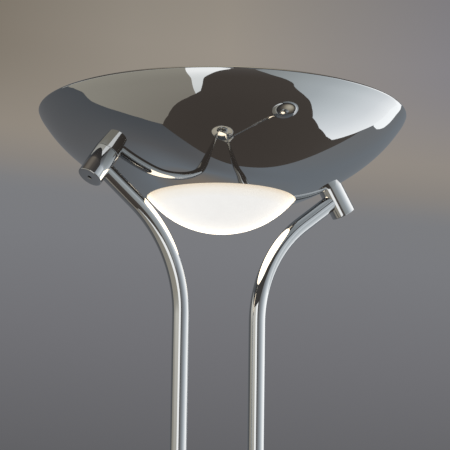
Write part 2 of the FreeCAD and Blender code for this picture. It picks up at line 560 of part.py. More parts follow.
SH = [(0.0, 37.0), (18.0, 35.99), (32.0, 33.75), (42.0, 30.8), (50.0, 25.6), (56.2, 18.0), (60.3, 9.8), (62.2, 2.6), (62.5, 0.0)]
c_out = spline(SH)
pts = []
a0, a1 = c_out.FirstParameter, c_out.LastParameter
for i in range(20):
    u = a0 + (a1 - a0) * i / 19
    p = c_out.value(u)
    d = c_out.tangent(u)[0]
    if isinstance(d, (tuple, list)):
        d = d[0]
    L = math.hypot(d.x, d.z)
    pts.append((max(0.0, p.x + d.z / L * 1.0) if i else 0.0, p.z - d.x / L * 1.0))
pts[0] = (0.0, SH[0][1] - 1.0)
c_in = spline(pts)
zs = -SHADE_PIN_UP
cs = V(SHADE_OFF, 0, zs)


def at_shade(shape):
    shape.translate(cs)
    return shape


shade = turned([c_out.toShape(), line(SH[-1], pts[-1]), c_in.toShape(), line(pts[0], SH[0])])
lip = Part.makeTorus(SHADE_R - 0.9, 0.9, V(0, 0, 0.0), V(0, 0, 1))
shade = at_shade(shade.fuse(lip).removeSplitter())
wall_fill = at_shade(turned([c_out.toShape(), line(SH[-1], (0, 0)), line((0, 0), SH[0])]))
shade = shade.cut(cyl((SHADE_OFF - SHADE_R - 4.0, 0, 0), (1, 0, 0), 2.1, 14.0))
save(local(shade, HEAD_UP), "reading_shade")
NEAR = SHADE_OFF - 69.5
tongue = cyl((0, -3.0, 0), (0, 1, 0), 5.6, 6.0).fuse(box(0, 22.0 + NEAR, -3.0, 3.0, -3.2, 3.2)).cut(wall_fill)
tongue = tongue.fuse(cyl((4.0, 0, 0), (1, 0, 0), 2.05, 14.0 + NEAR))
tongue = tongue.cut(cyl((0, -5.0, 0), (0, 1, 0), 2.0 + RUN, 10.0))
save(local(tongue.removeSplitter(), HEAD_UP), "shade_tongue")
nut = hexagon((14.2 + NEAR, 0, 0), (1, 0, 0), 7.0, 3.0, 2.1)
save(local(nut, HEAD_UP), "tongue_nut")
holder = at_shade(cyl((0, 0, 20.0), (0, 0, 1), 13.0, 14.6).cut(cyl((0, 0, 19.0), (0, 0, 1), 7.6, 6.0)).common(turned([c_in.toShape(), line(pts[-1], (0, pts[-1][1])), line((0, pts[-1][1]), pts[0])])))
save(local(holder, HEAD_UP), "reading_lampholder")
bulb = at_shade(cyl((0, 0, 9.5), (0, 0, 1), 7.0, 13.0).fuse(Part.makeSphere(7.0, V(0, 0, 11.0))).fuse(cyl((0, 0, 20.0), (0, 0, 1), 5.0, 4.6)).removeSplitter())
save(local(bulb, HEAD_UP), "reading_lamp")
lens = at_shade(lathe([(0, 0.6), (58.6, 0.6), (59.6, 1.4), (59.6, 3.2), (0, 3.2)]))
save(local(lens, HEAD_UP), "reading_glass")
ring = at_shade(lathe([(57.6, 3.4), (59.9, 3.4), (59.9, 5.0), (57.6, 5.0)]))
save(local(ring, HEAD_UP), "reading_glass_ring")

# ---- leads inside the tubes ------------------------------------------------------
low = cyl((BUSH_X, 0, LEAD_Z), (0, 1, 0), LEAD_R, edge_y - 12.0)
low = low.fuse(Part.makeSphere(LEAD_R, V(BUSH_X, 0, LEAD_Z))).fuse(cyl((BUSH_X, 0, LEAD_Z), (0, 0, 1), LEAD_R, BRIDGE_Z0 + 22.0 - LEAD_Z))
save(low.removeSplitter(), "lower_lead")
A, u, B, C = tube_frame(LEFT)
save(bent(LEFT, LEAD_R, BRIDGE_Z0 + 22.4, 2.0), "upper_lead")

print("boss slope", math.degrees(boss_slope), "z", boss_z)
for k, j in enumerate(J):
    print("J%d" % (k + 1), tuple(round(c, 3) for c in j))
print("PIN", tuple(round(c, 3) for c in PIN), "hx", tuple(hx), "hy", tuple(hy))
uu = math.radians(HEAD_UP)
print("shade centre", tuple(PIN + hx * (SHADE_OFF * math.cos(uu) + SHADE_PIN_UP * math.sin(uu)) + V(0, 0, SHADE_OFF * math.sin(uu) - SHADE_PIN_UP * math.cos(uu))))
print("hy", tuple(hy))
print("tube frame", [tuple(round(c, 2) for c in q) for q in tube_frame(RIGHT)])
print("lean axis", (-ay, ax))
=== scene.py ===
import bmesh
import bpy
import math
from mathutils import Matrix, Vector


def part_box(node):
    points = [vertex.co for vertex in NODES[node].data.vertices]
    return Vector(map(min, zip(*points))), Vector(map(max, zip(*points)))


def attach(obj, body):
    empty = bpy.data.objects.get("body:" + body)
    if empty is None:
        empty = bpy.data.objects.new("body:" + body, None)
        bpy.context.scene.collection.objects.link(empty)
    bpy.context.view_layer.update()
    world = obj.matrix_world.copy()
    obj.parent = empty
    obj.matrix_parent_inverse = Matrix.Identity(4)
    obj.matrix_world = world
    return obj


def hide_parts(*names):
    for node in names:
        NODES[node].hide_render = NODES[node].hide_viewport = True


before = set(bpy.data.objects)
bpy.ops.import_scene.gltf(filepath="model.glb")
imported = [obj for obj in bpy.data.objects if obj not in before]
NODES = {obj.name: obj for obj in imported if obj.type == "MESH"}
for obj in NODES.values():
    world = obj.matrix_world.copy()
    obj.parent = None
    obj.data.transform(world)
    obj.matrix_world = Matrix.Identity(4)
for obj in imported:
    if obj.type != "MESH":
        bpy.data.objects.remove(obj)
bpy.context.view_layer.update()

scene = bpy.context.scene
MM = 0.001

# ---------------------------------------------------------------- shape kit


def finish_mesh(bm, name, mats, body, sharp=32.0):
    """Turns a bmesh drawn in millimetres into a smooth object in metres that rides on a body."""
    bmesh.ops.recalc_face_normals(bm, faces=bm.faces)
    bmesh.ops.scale(bm, vec=(MM, MM, MM), verts=bm.verts)
    lim = math.radians(sharp)
    for f in bm.faces:
        f.smooth = True
    for e in bm.edges:
        if len(e.link_faces) == 2 and e.calc_face_angle(0.0) > lim:
            e.smooth = False
    me = bpy.data.meshes.new(name)
    bm.to_mesh(me)
    bm.free()
    ob = bpy.data.objects.new(name, me)
    scene.collection.objects.link(ob)
    for m in mats if isinstance(mats, (list, tuple)) else [mats]:
        me.materials.append(m)
    if body:
        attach(ob, body)
    return ob


def frame_at(origin, axis, x_hint=None):
    """Matrix whose Z runs along axis."""
    z = Vector(axis).normalized()
    h = Vector(x_hint) if x_hint is not None else (Vector((1, 0, 0)) if abs(z.x) < 0.9 else Vector((0, 1, 0)))
    x = (h - z * h.dot(z)).normalized()
    y = z.cross(x)
    m = Matrix((x, y, z)).transposed().to_4x4()
    m.translation = Vector(origin)
    return m


def lathe(bm, prof, n=128, m=None, closed=True, mat=None, turn=None):
    """Turns an outline of (r, z) points about Z. mat(i) gives the material of the band from point i to i + 1."""
    rings = []
    for r, z in prof:
        if r < 1e-6:
            rings.append([bm.verts.new((0, 0, z))])
        else:
            rings.append([bm.verts.new((r * math.cos(2 * math.pi * k / n), r * math.sin(2 * math.pi * k / n), z)) for k in range(n)])
    count = len(prof) if closed else len(prof) - 1
    for i in range(count):
        a, b = rings[i], rings[(i + 1) % len(prof)]
        if len(a) == 1 and len(b) == 1:
            continue
        for k in range(n):
            k2 = (k + 1) % n
            if len(a) == 1:
                f = bm.faces.new((a[0], b[k], b[k2]))
            elif len(b) == 1:
                f = bm.faces.new((a[k], b[0], a[k2]))
            else:
                f = bm.faces.new((a[k], b[k], b[k2], a[k2]))
            if mat:
                f.material_index = mat(i)
    if m is not None:
        bmesh.ops.transform(bm, matrix=m, verts=[v for r in rings for v in r])
    return rings


def round_corners(pts, seg=6):
    """An outline of (r, z, radius) points with each corner rounded to its radius."""
    out = []
    n = len(pts)
    for i, (x, y, rad) in enumerate(pts):
        if rad <= 0:
            out.append((x, y))
            continue
        p = Vector((x, y))
        a = (Vector(pts[i - 1][:2]) - p).normalized()
        b = (Vector(pts[(i + 1) % n][:2]) - p).normalized()
        half = a.angle(b) / 2
        d = rad / math.tan(half)
        c = p + (a + b).normalized() * (rad / math.sin(half))
        s, e = p + a * d - c, p + b * d - c
        ang = s.angle(e)
        cr = s.x * e.y - s.y * e.x
        for k in range(seg + 1):
            t = ang * k / seg * (1 if cr > 0 else -1)
            out.append((c.x + s.x * math.cos(t) - s.y * math.sin(t), c.y + s.x * math.sin(t) + s.y * math.cos(t)))
    return out


def curve_through(pts, per=16):
    """Points along a smooth curve through pts (natural cubic, chord-length parameter)."""
    n = len(pts)
    t = [0.0]
    for i in range(1, n):
        t.append(t[-1] + math.dist(pts[i], pts[i - 1]))
    cols = []
    for axis in range(2):
        y = [p[axis] for p in pts]
        h = [t[i + 1] - t[i] for i in range(n - 1)]
        # tridiagonal system for second derivatives
        a, b, c, d = [0.0] * n, [1.0] * n, [0.0] * n, [0.0] * n
        for i in range(1, n - 1):
            a[i], b[i], c[i] = h[i - 1], 2 * (h[i - 1] + h[i]), h[i]
            d[i] = 6 * ((y[i + 1] - y[i]) / h[i] - (y[i] - y[i - 1]) / h[i - 1])
        # ends follow their neighbours' curvature
        c[0], d[0] = -1.0, 0.0
        a[-1], d[-1] = -1.0, 0.0
        for i in range(1, n):
            w = a[i] / b[i - 1]
            b[i] -= w * c[i - 1]
            d[i] -= w * d[i - 1]
        s = [0.0] * n
        s[-1] = d[-1] / b[-1] if abs(b[-1]) > 1e-12 else 0.0
        for i in range(n - 2, -1, -1):
            s[i] = (d[i] - c[i] * s[i + 1]) / b[i]
        cols.append((y, h, s))
    out = []
    for i in range(n - 1):
        for k in range(per):
            u = k / per
            pt = []
            for y, h, s in cols:
                A, B = 1 - u, u
                pt.append(A * y[i] + B * y[i + 1] + ((A ** 3 - A) * s[i] + (B ** 3 - B) * s[i + 1]) * h[i] ** 2 / 6)
            out.append(tuple(pt))
    out.append(tuple(pts[-1]))
    return out


def offset(pts, t):
    """The outline moved t to its left."""
    out = []
    n = len(pts)
    for i in range(n):
        a, b = pts[max(0, i - 1)], pts[min(n - 1, i + 1)]
        dx, dz = b[0] - a[0], b[1] - a[1]
        L = math.hypot(dx, dz)
        out.append((pts[i][0] - dz / L * t, pts[i][1] + dx / L * t))
    return out


def sweep(bm, path, radius, n=56, ends=True, y_dir=(0, 1, 0), inner=None):
    """A round tube along a path that lies in the plane square to y_dir."""
    y = Vector(y_dir).normalized()
    rings = []
    for i, p in enumerate(path):
        p = Vector(p)
        t = (Vector(path[min(i + 1, len(path) - 1)]) - Vector(path[max(i - 1, 0)])).normalized()
        x = t.cross(y).normalized()
        rings.append([bm.verts.new(p + (x * math.cos(2 * math.pi * k / n) + y * math.sin(2 * math.pi * k / n)) * radius) for k in range(n)])
    for a, b in zip(rings, rings[1:]):
        for k in range(n):
            bm.faces.new((a[k], b[k], b[(k + 1) % n], a[(k + 1) % n]))
    if ends:
        for ring in (rings[0], rings[-1]):
            bm.faces.new(ring)
    return rings


# ---------------------------------------------------------------- material kit


class Mat:
    def __init__(self, name):
        self.m = bpy.data.materials.new(name)
        self.m.use_nodes = True
        self.t = self.m.node_tree
        self.t.nodes.clear()
        self.out = self.t.nodes.new("ShaderNodeOutputMaterial")
        self.p = self.t.nodes.new("ShaderNodeBsdfPrincipled")
        self.t.links.new(self.p.outputs[0], self.out.inputs[0])
        self.coord = self.t.nodes.new("ShaderNodeTexCoord")

    def set(self, **kw):
        for k, v in kw.items():
            s = self.p.inputs[k.replace("_", " ")]
            s.default_value = v
        return self

    def node(self, kind, inputs=None, **props):
        n = self.t.nodes.new(kind)
        for k, v in props.items():
            setattr(n, k, v)
        for k, v in (inputs or {}).items():
            if isinstance(v, bpy.types.NodeSocket):
                self.t.links.new(v, n.inputs[k])
            else:
                n.inputs[k].default_value = v
        return n

    def link(self, a, socket):
        self.t.links.new(a, self.p.inputs[socket])
        return self

    def where(self, scale=(1, 1, 1), rot=(0, 0, 0)):
        return self.node("ShaderNodeMapping", {"Vector": self.coord.outputs["Object"], "Scale": scale, "Rotation": rot}).outputs[0]

    def noise(self, scale, detail=4.0, rough=0.55, vec=None, out="Fac", distortion=0.0):
        n = self.node("ShaderNodeTexNoise", {"Vector": vec or self.coord.outputs["Object"], "Scale": scale, "Detail": detail, "Roughness": rough, "Distortion": distortion})
        return n.outputs[out]

    def ramp(self, fac, stops):
        r = self.node("ShaderNodeValToRGB", {"Fac": fac})
        cr = r.color_ramp
        while len(cr.elements) < len(stops):
            cr.elements.new(0.5)
        for el, (pos, col) in zip(cr.elements, stops):
            el.position = pos
            el.color = (*col, 1.0) if len(col) == 3 else col
        return r.outputs[0]

    def span(self, fac, lo, hi, f0=0.3, f1=0.7):
        return self.node("ShaderNodeMapRange", {"Value": fac, "From Min": f0, "From Max": f1, "To Min": lo, "To Max": hi}).outputs[0]

    def math(self, op, a, b=None):
        ins = {0: a}
        if b is not None:
            ins[1] = b
        return self.node("ShaderNodeMath", ins, operation=op).outputs[0]

    def bump(self, height, strength, distance=0.0005):
        b = self.node("ShaderNodeBump", {"Height": height, "Strength": strength, "Distance": distance})
        self.t.links.new(b.outputs[0], self.p.inputs["Normal"])
        return self


def chrome(name, tint=(0.60, 0.605, 0.61), lo=0.02, hi=0.05, haze=7.0, fine=420.0, bump=0.010, stretch=(1, 1, 1)):
    """Polished plate: faint haze that comes and goes, fine wipe marks, a trace of orange peel."""
    a = Mat(name).set(Metallic=1.0, Specular_IOR_Level=0.5)
    haze_n = a.noise(haze, 3.0, 0.5)
    fine_n = a.noise(fine, 3.0, 0.6, vec=a.where(stretch))
    a.link(a.math("ADD", a.span(haze_n, lo, hi), a.span(fine_n, 0.0, 0.012)), "Roughness")
    dark = tuple(c * 0.955 for c in tint)
    a.link(a.ramp(a.noise(haze * 0.6, 4.0, 0.5), [(0.35, dark), (0.62, tint)]), "Base Color")
    if bump:
        a.bump(a.noise(fine * 0.35, 2.0, 0.5), bump, 0.0004)
    return a.m


def plastic(name, col, rough=0.42, grain=900.0, bump=0.12, vary=0.12, coat=0.0):
    a = Mat(name).set(Coat_Weight=coat)
    lo = tuple(max(0.0, c * (1 - vary)) for c in col)
    a.link(a.ramp(a.noise(40.0, 5.0), [(0.3, lo), (0.7, col)]), "Base Color")
    a.link(a.span(a.noise(160.0, 3.0), rough * 0.85, rough * 1.15), "Roughness")
    a.bump(a.noise(grain, 2.0), bump, 0.0002)
    return a.m


def metal(name, col, rough=0.35, scale=300.0, bump=0.15, vary=0.18, cells=False):
    a = Mat(name).set(Metallic=1.0)
    lo = tuple(c * (1 - vary) for c in col)
    if cells:
        v = a.node("ShaderNodeTexVoronoi", {"Vector": a.coord.outputs["Object"], "Scale": scale})
        f = v.outputs["Color"]
        a.link(a.ramp(f, [(0.1, lo), (0.9, col)]), "Base Color")
        a.link(a.span(a.node("ShaderNodeSeparateColor", {0: f}).outputs[0], rough * 0.8, rough * 1.3, 0.0, 1.0), "Roughness")
        a.bump(a.noise(scale * 2, 3.0), bump, 0.0002)
    else:
        n = a.noise(scale, 4.0)
        a.link(a.ramp(n, [(0.3, lo), (0.7, col)]), "Base Color")
        a.link(a.span(n, rough * 1.2, rough * 0.8), "Roughness")
        a.bump(a.noise(scale * 2.5, 3.0), bump, 0.0003)
    return a.m


M = {}
M["bowl"] = chrome("bowl_chrome", lo=0.008, hi=0.022, haze=5.0, fine=260.0, bump=0)
M["tube"] = chrome("tube_chrome", lo=0.015, hi=0.035, haze=9.0, fine=300.0, bump=0, stretch=(1, 1, 0.06))
M["boss"] = chrome("boss_chrome", lo=0.015, hi=0.04, haze=30.0, fine=500.0, bump=0)
M["base"] = chrome("base_chrome", lo=0.015, hi=0.05, haze=11.0, fine=360.0, bump=0)
M["housing"] = chrome("housing_chrome", lo=0.03, hi=0.07, haze=22.0, fine=500.0, bump=0.010)
M["knob"] = chrome("knob_chrome", lo=0.05, hi=0.10, haze=60.0, fine=900.0, bump=0.012)
M["arm"] = chrome("arm_chrome", lo=0.02, hi=0.05, haze=20.0, fine=600.0, bump=0)
M["flex"] = chrome("flex_chrome", tint=(0.62, 0.62, 0.615), lo=0.05, hi=0.10, haze=40.0, fine=1200.0, bump=0.01)
M["shade"] = chrome("shade_chrome", lo=0.05, hi=0.085, haze=14.0, fine=420.0, bump=0)


def satin_inside():
    a = Mat("bowl_inside_satin").set(Metallic=1.0)
    ring = a.node("ShaderNodeTexNoise", {"Vector": a.where((6, 6, 900)), "Scale": 1.0, "Detail": 4.0})
    a.link(a.ramp(ring.outputs["Fac"], [(0.3, (0.70, 0.70, 0.69)), (0.7, (0.80, 0.80, 0.79))]), "Base Color")
    a.link(a.span(ring.outputs["Fac"], 0.30, 0.40), "Roughness")
    a.bump(ring.outputs["Fac"], 0.02, 0.0002)
    return a.m


M["inside"] = satin_inside()


def opal(name, strength):
    """Lit opal glass: white, a little warmer and weaker towards its edge."""
    a = Mat(name).set(Roughness=0.16, IOR=1.12, Emission_Strength=strength)
    flat = a.node("ShaderNodeVectorMath", {0: a.coord.outputs["Object"], 1: (1.0, 1.0, 0.0)}, operation="MULTIPLY").outputs[0]
    r = a.node("ShaderNodeVectorMath", {0: flat}, operation="LENGTH").outputs["Value"]
    k = a.math("MULTIPLY", r, 1000.0 / 69.6)
    body = a.ramp(k, [(0.0, (1.0, 0.995, 0.985)), (0.86, (1.0, 0.99, 0.97)), (0.95, (1.0, 0.94, 0.84)), (1.0, (0.90, 0.74, 0.54))])
    cloud = a.ramp(a.noise(26.0, 3.0), [(0.3, (0.96, 0.96, 0.96)), (0.7, (1, 1, 1))])
    mix = a.node("ShaderNodeMix", {0: 1.0, 6: body, 7: cloud}, data_type="RGBA", blend_type="MULTIPLY")
    a.link(mix.outputs[2], "Emission Color")
    a.link(a.ramp(a.noise(30.0, 3.0), [(0.3, (0.18, 0.18, 0.18)), (0.7, (0.20, 0.20, 0.20))]), "Base Color")
    return a.m


M["opal"] = opal("opal_glass_lit", 0.755)


def frosted():
    a = Mat("frosted_glass").set(IOR=1.5, Coat_Weight=0.2, Coat_Roughness=0.08, Transmission_Weight=0.35)
    a.link(a.ramp(a.noise(90.0, 4.0), [(0.3, (0.80, 0.82, 0.82)), (0.7, (0.88, 0.90, 0.90))]), "Base Color")
    a.link(a.span(a.noise(700.0, 2.0), 0.42, 0.58), "Roughness")
    a.bump(a.noise(1800.0, 2.0), 0.04, 0.0002)
    return a.m


M["frosted"] = frosted()


def quartz(name, strength):
    a = Mat(name).set(Roughness=0.05, IOR=1.46, Emission_Strength=strength)
    a.link(a.ramp(a.noise(120.0, 2.0), [(0.3, (1.0, 0.86, 0.66)), (0.7, (1.0, 0.93, 0.80))]), "Emission Color")
    a.link(a.ramp(a.noise(60.0, 2.0), [(0.3, (0.80, 0.82, 0.84)), (0.7, (0.9, 0.92, 0.94))]), "Base Color")
    return a.m


M["quartz_lit"] = quartz("quartz_lit", 5.0)
M["quartz"] = quartz("quartz_unlit", 0.02)


def felt():
    a = Mat("felt_dark").set(Sheen_Weight=0.35, Sheen_Roughness=0.5)
    f = a.noise(2600.0, 4.0, 0.7, distortion=1.5)
    a.link(a.ramp(f, [(0.3, (0.018, 0.018, 0.02)), (0.7, (0.06, 0.06, 0.065))]), "Base Color")
    a.link(a.span(f, 0.85, 1.0), "Roughness")
    a.bump(f, 0.8, 0.0006)
    return a.m


M["felt"] = felt()
M["zinc"] = metal("zinc_plate", (0.62, 0.64, 0.67), 0.30, 420.0, 0.10, cells=True)
M["screw"] = metal("dark_screw", (0.10, 0.10, 0.105), 0.38, 700.0, 0.20)
M["brass"] = metal("brass", (0.80, 0.62, 0.33), 0.28, 350.0, 0.08)
M["iron"] = metal("cast_iron", (0.14, 0.135, 0.13), 0.62, 130.0, 0.7)
M["ceramic"] = plastic("steatite", (0.84, 0.82, 0.76), 0.34, 500.0, 0.10, 0.07, coat=0.15)
M["black"] = plastic("black_moulding", (0.022, 0.022, 0.024), 0.40, 1100.0, 0.16, 0.35)
M["white"] = plastic("white_moulding", (0.80, 0.80, 0.78), 0.36, 900.0, 0.10, 0.05)
M["lead"] = plastic("lead_sheath", (0.03, 0.03, 0.032), 0.50, 1400.0, 0.10, 0.3)

# ---------------------------------------------------------------- carried-over CAD pieces

CARRY = {
    "tube": ["lower_pole_left", "lower_pole_right", "upper_pole_left", "upper_pole_right"],
    "boss": ["boss_left", "boss_right", "foot_collars"],
    "bowl": ["bowl_shell"],
    "opal": ["opal_glass"],
    "base": ["base_cover"],
    "housing": ["bridge_housing", "arm_post"],
    "knob": ["knob_uplight", "knob_reading"],
    "arm": ["arm_rod", "arm_knuckle", "arm_ferrule"],
    "flex": ["flex_segment_1", "flex_segment_2", "flex_segment_3", "flex_segment_4", "head_yoke", "shade_tongue"],
    "shade": ["reading_shade"],
    "zinc": ["glass_clips", "lamp_bracket", "bracket_spacers", "bowl_nuts", "foot_nuts", "arm_circlip", "arm_post_nut", "reading_glass_ring", "dimmer_nuts", "tongue_nut", "pole_inserts", "bridge_plate"],
    "screw": ["boss_grub_screws", "bridge_screws"],
    "brass": ["bowl_nipples", "foot_nipples", "bridge_nipples", "spindle_uplight", "spindle_reading", "head_pin"],
    "iron": ["base_weight"],
    "felt": ["base_pad"],
    "ceramic": ["lampholder_front", "lampholder_back", "reading_lampholder"],
    "black": ["inlet_bush", "dimmer_uplight", "dimmer_reading"],
    "white": ["terminal_block"],
    "quartz_lit": ["linear_lamp"],
    "quartz": ["reading_lamp"],
    "frosted": ["reading_glass"],
    "lead": ["lower_lead", "upper_lead"],
}
done = set()
for key, names in CARRY.items():
    for n in names:
        ob = NODES[n]
        ob.data.materials.clear()
        ob.data.materials.append(M[key])
        done.add(n)
for extra in ("glass_clip_screws", "bracket_screws"):
    ob = NODES[extra]
    ob.data.materials.clear()
    ob.data.materials.append(M["zinc"])
    done.add(extra)
left_over = sorted(set(NODES) - done)
assert not left_over, left_over

# ---------------------------------------------------------------- bowl

H_RIM = 1800.0
BOWL = [
    (70.30, -82.20), (79.30, -78.80), (88.30, -75.00), (98.00, -70.25), (109.95, -63.66),
    (121.57, -56.51), (132.80, -48.77), (143.50, -40.33), (153.50, -31.05),
    (162.60, -20.95), (169.60, -11.60), (173.60, -5.30), (175.00, -1.90),
]


def build_bowl():
    wall = curve_through(BOWL, 11)
    skin = offset(wall, 1.2)
    bead_c, bead_r = (173.1, -1.9), 1.9
    # the rolled edge: from the outside, over the top, back to the inner skin
    a0 = -4.0
    bead = []
    for k in range(0, 23):
        t = math.radians(a0 + (228 - a0) * k / 22)
        bead.append((bead_c[0] + bead_r * math.cos(t), bead_c[1] + bead_r * math.sin(t)))
    inner = [p for p in reversed(skin) if p[1] < bead[-1][1] - 0.25]
    outer = [p for p in wall if p[1] < bead[0][1] - 0.15]
    lip = [(inner[-1][0] - 0.35, (inner[-1][1] + outer[0][1]) / 2 + 0.1)]
    prof = [(r, z + H_RIM) for r, z in outer + bead + inner + lip]
    turn_in = len(outer) + len(bead) - 2
    bm = bmesh.new()
    lathe(bm, prof, 336, mat=lambda i: 1 if i >= turn_in else 0)
    ob = finish_mesh(bm, "bowl", [M["bowl"], M["inside"]], "stand", sharp=50)
    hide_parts("bowl_shell")
    return wall


WALL = build_bowl()


def wall_at(r):
    """Height above the floor and slope of the bowl's outer face at radius r."""
    for a, b in zip(WALL, WALL[1:]):
        if a[0] <= r <= b[0]:
            t = (r - a[0]) / (b[0] - a[0])
            return H_RIM + a[1] + t * (b[1] - a[1]), math.atan2(b[1] - a[1], b[0] - a[0])
    return H_RIM + WALL[-1][1], math.pi / 2


# ---------------------------------------------------------------- bosses and bent tubes

BOSS_AT, BOSS_R, BOSS_L, TUBE_AT = 124.8, 12.0, 31.0, 13.7
POLE_X, TUBE_R, BEND_R, BEND = 42.2, 8.0, 127.0, math.radians(52.5)
BOSS_Z, SLOPE = 1745.614, math.radians(33.855)


def build_boss(side, word):
    P = Vector((side * BOSS_AT, 0, BOSS_Z))
    n = Vector((side * math.sin(SLOPE), 0, -math.cos(SLOPE)))
    m = frame_at(P, n, (0, 1, 0))
    bm = bmesh.new()
    seg = 144
    # outline from the wall outwards, in along the end face, and down the set-screw hole
    ring_z = [0.0, 0.6, 2.0, 6.0, 10.0, 14.0, 18.0, 22.0, 26.0, 29.4]
    prof = [(BOSS_R - 1.2, -0.05), (BOSS_R - 0.12, -0.02)] + [(BOSS_R, z + (0.18 if z == 0 else 0)) for z in ring_z]
    prof += [(BOSS_R - 0.9 * (1 - math.cos(math.radians(a))), 30.1 + 0.9 * math.sin(math.radians(a))) for a in (0, 15, 30, 45, 60, 75, 90)]
    prof += [(8.0, BOSS_L), (4.2, BOSS_L), (2.42, BOSS_L - 0.03), (2.12, BOSS_L - 0.30), (2.05, BOSS_L - 1.2), (2.05, BOSS_L - 11.0), (0.0, BOSS_L - 11.0)]
    rings = lathe(bm, prof, seg, closed=False)
    inv = m.inverted()
    # the end on the bowl follows the wall
    for ring in rings[:4]:
        for v in ring:
            base = v.co.copy()
            z = 0.0
            for _ in range(12):
                q = m @ Vector((base.x, base.y, z))
                r = math.hypot(q.x, q.y)
                h, sl = wall_at(r)
                gap = (h - q.z) * math.cos(sl)      # how far outside the wall the point is
                z -= gap
            v.co.z = base.z + z
    bmesh.ops.transform(bm, matrix=m, verts=bm.verts)
    ob = finish_mesh(bm, "boss_%s_turned" % word, [M["boss"]], "stand", sharp=40)
    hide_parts("boss_" + word)


def pole_path(side):
    P = Vector((side * BOSS_AT, 0, BOSS_Z))
    n = Vector((side * math.sin(SLOPE), 0, -math.cos(SLOPE)))
    A = P + n * TUBE_AT
    u = Vector((-side * math.sin(BEND), 0, -math.cos(BEND)))
    run = abs(A.x) - POLE_X - BEND_R * (1 - math.cos(BEND))
    B = A + u * (run / math.sin(BEND))
    C = Vector((side * POLE_X, 0, B.z - BEND_R * math.sin(BEND)))
    centre = Vector((C.x + side * BEND_R, 0, C.z))
    pts = [Vector((C.x, 0, 890.0)), Vector((C.x, 0, 892.0))]
    for k in range(1, 26):
        pts.append(Vector((C.x, 0, 892.0 + (C.z - 892.0) * k / 25)))
    for k in range(1, 49):
        t = BEND * k / 48
        pts.append(centre + Vector((-side * BEND_R * math.cos(t), 0, BEND_R * math.sin(t))))
    top = A + u * 6.0
    last = pts[-1]
    for k in range(1, 9):
        pts.append(last.lerp(top, k / 8))
    return pts


for side, word in ((-1, "left"), (1, "right")):
    build_boss(side, word)
    bm = bmesh.new()
    sweep(bm, pole_path(side), TUBE_R, 64)
    ob = finish_mesh(bm, "pole_%s_bent" % word, [M["tube"]], "stand")
    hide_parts("upper_pole_" + word)
    bm = bmesh.new()
    zs = [18.0] + [18.0 + 832.0 * k / 24 for k in range(1, 24)] + [850.0]
    sweep(bm, [Vector((side * POLE_X, 0, z)) for z in zs], TUBE_R, 64)
    ob = finish_mesh(bm, "pole_%s_low" % word, [M["tube"]], "stand")
    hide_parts("lower_pole_" + word)

# ---------------------------------------------------------------- opal glass

GLASS_R, GLASS_DROP, GLASS_T = 69.6, 33.3, 3.0


def build_glass():
    gz = H_RIM - 82.20 + 0.3
    R = (GLASS_R ** 2 + GLASS_DROP ** 2) / (2 * GLASS_DROP)
    gc = gz - GLASS_DROP + R
    lo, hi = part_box("opal_glass")
    top = hi.z * 1000.0
    flange = top - 3.0
    prof = []
    for k in range(41):
        r = (GLASS_R - 0.0) * k / 40
        prof.append((r, gc - math.sqrt(R * R - r * r)))
    prof += [(GLASS_R, prof[-1][1] + 0.8), (GLASS_R, flange - 0.4), (GLASS_R + 0.4, flange)]
    prof += [(76.2, flange), (77.0, flange + 0.8), (77.0, top - 0.8), (76.2, top), (GLASS_R - GLASS_T + 0.8, top), (GLASS_R - GLASS_T, top - 0.8)]
    Ri = R - GLASS_T
    for k in range(30, -1, -1):
        r = (GLASS_R - GLASS_T) * k / 30
        prof.append((r, gc - math.sqrt(Ri * Ri - r * r)))
    bm = bmesh.new()
    lathe(bm, prof, 192, closed=False)
    ob = finish_mesh(bm, "opal_dome", [M["opal"]], "stand", sharp=40)
    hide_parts("opal_glass")
    return prof[:41]


DOME = build_glass()

# ---------------------------------------------------------------- base cover

BASE_R, BASE_H, BASE_EDGE = 135.0, 18.0, 8.0


def build_base():
    q = BASE_EDGE
    c = (BASE_R - q, BASE_H - 1.2 - q)
    prof = [(BASE_R - 1.2, 1.2), (BASE_R - 0.15, 1.2), (BASE_R, 1.35), (BASE_R, 3.0), (BASE_R, 6.0)]
    for k in range(0, 19):
        t = math.radians(5 * k)
        prof.append((c[0] + q * math.cos(t), c[1] + q * math.sin(t)))
    # slow crown from the edge to the flat middle
    x0, z0, x2, z2 = c[0], c[1] + q, 70.0, BASE_H
    xm, zm = (x0 + x2) / 2, BASE_H - 0.42
    for k in range(1, 25):
        x = x0 + (x2 - x0) * k / 24
        z = z0 * (x - xm) * (x - x2) / ((x0 - xm) * (x0 - x2)) + zm * (x - x0) * (x - x2) / ((xm - x0) * (xm - x2)) + z2 * (x - x0) * (x - xm) / ((x2 - x0) * (x2 - xm))
        prof.append((x, z))
    prof += [(50.0, BASE_H), (30.0, BASE_H), (10.0, BASE_H), (0.0, BASE_H)]
    bm = bmesh.new()
    lathe(bm, prof, 288, closed=False)
    ob = finish_mesh(bm, "base_turned", [M["base"]], "stand", sharp=50)
    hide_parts("base_cover")


build_base()

# ---------------------------------------------------------------- reading arm and head

AZ = Vector((0.1903, -0.9817, 0.0)).normalized()
ROD_FROM, ROD_L, ARM_ELEV = Vector((36.0, -40.0, 909.0)), 296.0, 59.0
SEG_L, SEG_R, SEG_ELEV = 34.1, 6.4, [64.0, 68.5, 72.8, 76.7]
KNUCKLE_R, SOCKET_R = 5.95, 6.10


def lean(deg):
    return AZ * math.cos(math.radians(deg)) + Vector((0, 0, math.sin(math.radians(deg))))


